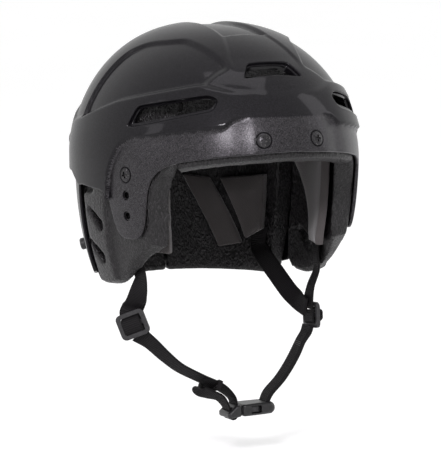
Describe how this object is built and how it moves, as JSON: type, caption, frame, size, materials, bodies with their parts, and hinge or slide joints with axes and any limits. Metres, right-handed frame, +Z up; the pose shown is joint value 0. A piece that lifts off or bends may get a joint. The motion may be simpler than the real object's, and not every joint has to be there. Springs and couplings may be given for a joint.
{
  "type": "sports helmet",
  "caption": "Multi-sport helmet with two nested hard shells, foam liners, comfort pads and a four-point chin strap with sliders and a side-release buckle.",
  "frame": {"origin": "inside the head cavity on the middle plane, level with the arches of the brow edge and 12 mm in front of the crown's pole", "axes": "+X to the wearer's left, -Y to the front, +Z up to the crown"},
  "size_m": [0.225, 0.2685, 0.3187],
  "materials": {
    "shell": "gloss charcoal above the step, fine satin texture below",
    "foam": "beaded foam, matte dark grey",
    "pad": "brushed grey cloth over soft foam",
    "hardware": "dark coated steel",
    "webbing": "ribbed black webbing",
    "moulded": "satin black"
  },
  "bodies": {
    "helmet": {"front_shell": "shell", "brow_liner": "foam", "crown_liner": "foam", "right_side_liner": "foam", "left_side_liner": "foam", "brow_pad": "pad", "crown_pad": "pad", "right_temple_pad": "pad", "left_temple_pad": "pad", "front_screws": "hardware", "front_tee_nuts": "hardware", "temple_screws": "hardware", "temple_tee_nuts": "hardware", "size_screws": "hardware", "size_tee_nuts": "hardware", "front_strap_anchors": "moulded", "right_front_strap": "webbing", "left_front_strap": "webbing"},
    "rear": {"rear_shell": "shell", "right_rear_liner": "foam", "left_rear_liner": "foam", "right_outer_rear_pad": "pad", "left_outer_rear_pad": "pad", "right_inner_rear_pad": "pad", "left_inner_rear_pad": "pad", "rear_strap_anchors": "moulded", "rear_strap_studs": "moulded", "right_rear_strap": "webbing", "left_rear_strap": "webbing"},
    "right_slider": {"right_slider": "moulded"},
    "left_slider": {"left_slider": "moulded"},
    "chin_loop": {"left_chin_strap": "webbing", "right_chin_strap": "webbing", "buckle_socket": "moulded"},
    "plug": {"buckle_plug": "moulded", "strap_tail": "webbing", "tail_keeper": "webbing"},
    "front_prong": {"front_prong": "moulded"},
    "back_prong": {"back_prong": "moulded"}
  },
  "joints": [
    {"name": "size_adjust", "type": "slide", "parent": "helmet", "child": "rear", "axis": [0, -1, 0], "range_m": [0, 0.01], "deforming": ["right_rear_strap", "left_rear_strap"]},
    {"name": "right_slider_travel", "type": "slide", "parent": "helmet", "child": "right_slider", "axis": [-0.2997, 0.2248, 0.9272], "range_m": [-0.006, 0.006], "deforming": ["right_front_strap", "right_rear_strap", "right_chin_strap"]},
    {"name": "left_slider_travel", "type": "slide", "parent": "helmet", "child": "left_slider", "axis": [-0.0035, 0.0697, 0.9976], "range_m": [-0.006, 0.006], "deforming": ["left_front_strap", "left_rear_strap", "left_chin_strap"]},
    {"name": "chin_swing", "type": "hinge", "parent": "helmet", "child": "chin_loop", "pos_m": [-0.0016, -0.012, -0.14295], "axis": [0.9969, -0.0783, 0.0007], "range_deg": [-45, 25], "deforming": ["left_chin_strap", "right_chin_strap", "strap_tail"]},
    {"name": "buckle_release", "type": "slide", "parent": "chin_loop", "child": "plug", "axis": [-0.9989, 0.0346, -0.0307], "range_m": [0, 0.022], "deforming": ["right_chin_strap", "strap_tail", "tail_keeper"]},
    {"name": "front_prong_bend", "type": "hinge", "parent": "plug", "child": "front_prong", "pos_m": [0.01288, -0.01958, -0.2164], "axis": [-0.0297, 0.031, 0.9991], "range_deg": [0, 5], "stiffness_Nm_per_rad": 0.02},
    {"name": "back_prong_bend", "type": "hinge", "parent": "plug", "child": "back_prong", "pos_m": [0.01333, -0.00699, -0.21678], "axis": [0.0297, -0.031, -0.9991], "range_deg": [0, 5], "stiffness_Nm_per_rad": 0.02}
  ],
  "couplings": [
    {"joint": "back_prong_bend", "follows": "front_prong_bend", "ratio": 1}
  ]
}
